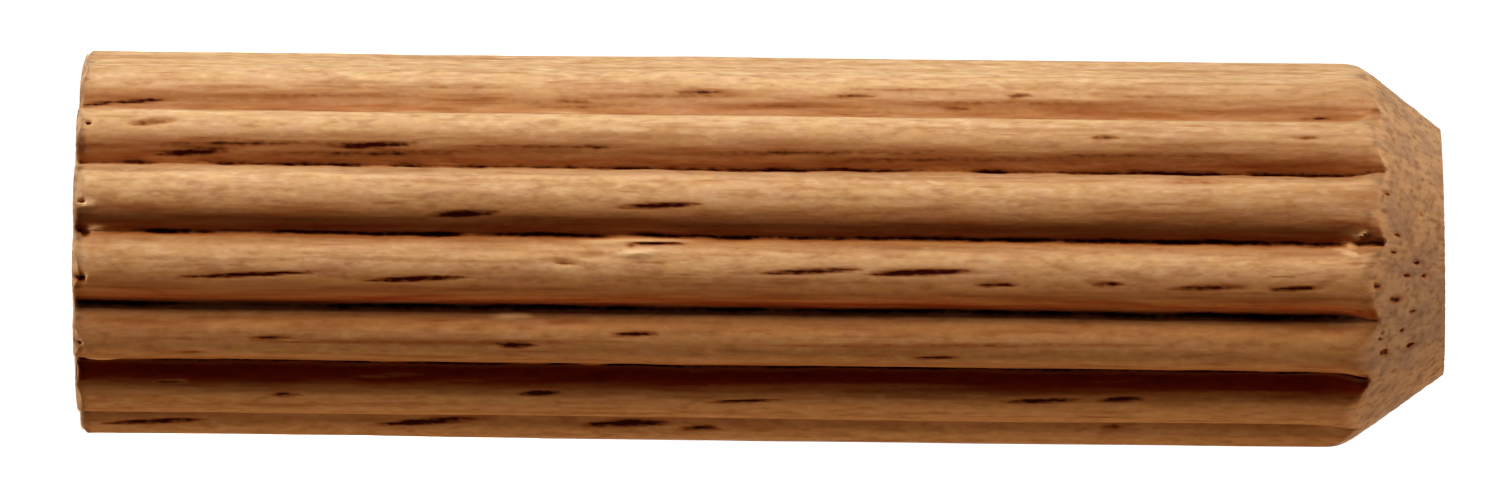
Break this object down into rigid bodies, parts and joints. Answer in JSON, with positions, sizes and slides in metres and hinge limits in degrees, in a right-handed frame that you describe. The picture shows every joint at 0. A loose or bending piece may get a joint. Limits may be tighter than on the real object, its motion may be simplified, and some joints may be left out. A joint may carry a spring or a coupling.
{
  "type": "fluted wood plug",
  "caption": "Short round hardwood plug with lengthwise ridges and grooves, a square-cut end and a coned nose, glued into drilled holes to join or fill wood.",
  "frame": {"origin": "centre of the square-cut end face, which it stands on", "axes": "+Z along the plug from the square-cut end to the nose, +X through the crest of a ridge"},
  "size_m": [0.0099, 0.0098, 0.035],
  "materials": {
    "wood": "raw"
  },
  "bodies": {
    "root": {"wood_plug": "wood"}
  },
  "joints": []
}
